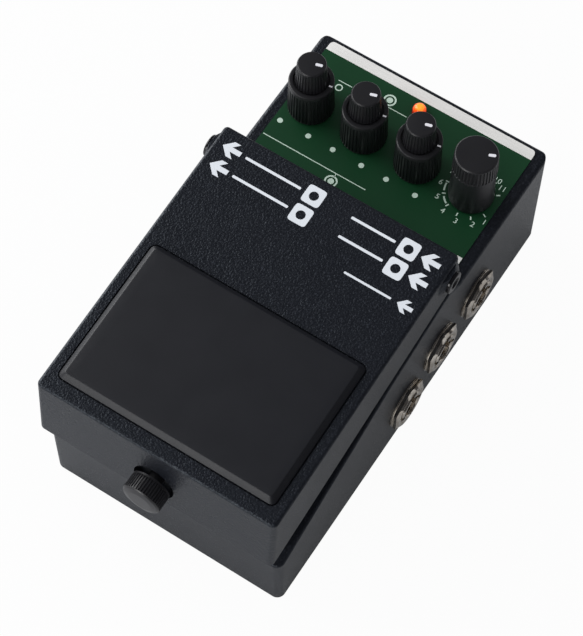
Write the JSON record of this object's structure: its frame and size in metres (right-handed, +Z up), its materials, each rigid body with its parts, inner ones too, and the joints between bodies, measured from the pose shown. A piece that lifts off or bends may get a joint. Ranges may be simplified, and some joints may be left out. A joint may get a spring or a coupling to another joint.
{
  "type": "tape echo pedal",
  "caption": "Compact stomp pedal with a hinged treadle, three dual-concentric knobs, a mode knob and side jacks.",
  "frame": {"origin": "on the floor below the middle of the whole pedal", "axes": "+X to the player's right, +Y to the rear with the controls, +Z up"},
  "size_m": [0.0732, 0.136, 0.0595],
  "materials": {
    "dark_coat": "satin",
    "pad_rubber": "matte",
    "steel": "satin",
    "pin_black": "gloss",
    "black_plastic": "satin",
    "white_plastic": "satin",
    "green_label": "satin",
    "nickel": "polished",
    "lamp_orange": "gloss",
    "board_green": "satin",
    "chip_black": "matte",
    "battery_skin": "satin",
    "lead_red": "satin",
    "lead_black": "satin",
    "foam": "matte"
  },
  "bodies": {
    "case_body": {"case": "dark_coat", "case_front": "dark_coat", "case_left": "dark_coat", "case_right": "dark_coat", "case_deck": "dark_coat", "case_frame": "dark_coat", "screw_posts": "dark_coat", "base_rubber": "pad_rubber", "base_plate": "steel", "base_screws": "steel", "treadle_spring": "steel", "spring_cup": "black_plastic", "foot_switch": "black_plastic", "control_label": "green_label", "mode_switch": "black_plastic", "control_nuts": "nickel", "check_lamp": "lamp_orange", "lamp_spacer": "white_plastic", "control_board": "board_green", "main_board": "board_green", "board_screws": "steel", "board_components": "chip_black", "dual_pots": "steel", "insulating_sheet": "white_plastic", "jack_bushings": "nickel", "jack_washers": "nickel", "jack_nuts": "nickel", "power_inlet": "black_plastic", "battery": "battery_skin", "battery_foam": "foam", "battery_snap": "black_plastic", "battery_lead_red": "lead_red", "battery_lead_black": "lead_black", "jack_right_rear": "black_plastic", "jack_right_middle": "black_plastic", "jack_right_front": "black_plastic", "jack_left_rear": "black_plastic", "jack_left_middle": "black_plastic"},
    "hinge_body": {"hinge_pins": "pin_black", "hinge_clips": "steel"},
    "treadle_body": {"treadle": "dark_coat", "treadle_pad": "pad_rubber", "switch_plunger": "black_plastic"},
    "washer_body": {"thumbscrew_washer": "black_plastic"},
    "thumbscrew_body": {"thumbscrew": "black_plastic"},
    "foot_button_body": {"foot_switch_button": "white_plastic"},
    "mode_knob_body": {"mode_knob": "black_plastic", "mode_shaft": "steel"},
    "outer_knob_body_1": {"outer_knob_1": "black_plastic", "sleeve_shaft_1": "steel"},
    "inner_knob_body_1": {"inner_knob_1": "black_plastic", "inner_shaft_1": "steel"},
    "outer_knob_body_2": {"outer_knob_2": "black_plastic", "sleeve_shaft_2": "steel"},
    "inner_knob_body_2": {"inner_knob_2": "black_plastic", "inner_shaft_2": "steel"},
    "outer_knob_body_3": {"outer_knob_3": "black_plastic", "sleeve_shaft_3": "steel"},
    "inner_knob_body_3": {"inner_knob_3": "black_plastic", "inner_shaft_3": "steel"}
  },
  "joints": [
    {"name": "treadle_press", "type": "hinge", "parent": "case_body", "child": "hinge_body", "pos_m": [0, 0.01615, 0.0521], "axis": [-1, 0, 0], "range_deg": [-2, 0], "stiffness_Nm_per_rad": 8, "springref_deg": 0.69, "deforming": ["treadle_spring"]},
    {"name": "treadle_open", "type": "hinge", "parent": "hinge_body", "child": "treadle_body", "pos_m": [0, 0.01615, 0.0521], "axis": [-1, 0, 0], "range_deg": [0, 75]},
    {"name": "thumbscrew_travel", "type": "slide", "parent": "treadle_body", "child": "washer_body", "axis": [0, 1, 0], "range_m": [0, 0.0026]},
    {"name": "thumbscrew_turn", "type": "hinge", "parent": "washer_body", "child": "thumbscrew_body", "pos_m": [0, -0.05925, 0.038], "axis": [0, 1, 0], "range_deg": [-30, 1370]},
    {"name": "foot_button_slide", "type": "slide", "parent": "case_body", "child": "foot_button_body", "axis": [0, 0, -1], "range_m": [0, 0.0004], "stiffness_N_per_m": 300, "springref_m": -0.001},
    {"name": "outer_knob_1_turn", "type": "hinge", "parent": "case_body", "child": "outer_knob_body_1", "pos_m": [-0.0248, 0.04625, 0.0398], "axis": [0, 0, 1], "range_deg": [-70, 230]},
    {"name": "inner_knob_1_turn", "type": "hinge", "parent": "case_body", "child": "inner_knob_body_1", "pos_m": [-0.0248, 0.04625, 0.0398], "axis": [0, 0, 1], "range_deg": [-70, 230]},
    {"name": "outer_knob_2_turn", "type": "hinge", "parent": "case_body", "child": "outer_knob_body_2", "pos_m": [-0.00877, 0.04625, 0.0398], "axis": [0, 0, 1], "range_deg": [-70, 230]},
    {"name": "inner_knob_2_turn", "type": "hinge", "parent": "case_body", "child": "inner_knob_body_2", "pos_m": [-0.00877, 0.04625, 0.0398], "axis": [0, 0, 1], "range_deg": [-70, 230]},
    {"name": "outer_knob_3_turn", "type": "hinge", "parent": "case_body", "child": "outer_knob_body_3", "pos_m": [0.00727, 0.04625, 0.0398], "axis": [0, 0, 1], "range_deg": [-70, 230]},
    {"name": "inner_knob_3_turn", "type": "hinge", "parent": "case_body", "child": "inner_knob_body_3", "pos_m": [0.00727, 0.04625, 0.0398], "axis": [0, 0, 1], "range_deg": [-70, 230]},
    {"name": "mode_knob_turn", "type": "hinge", "parent": "case_body", "child": "mode_knob_body", "pos_m": [0.0233, 0.04625, 0.0398], "axis": [0, 0, 1], "range_deg": [0, 300]}
  ],
  "couplings": [
    {"joint": "thumbscrew_turn", "follows": "thumbscrew_travel", "rad_per_m": 8976}
  ]
}
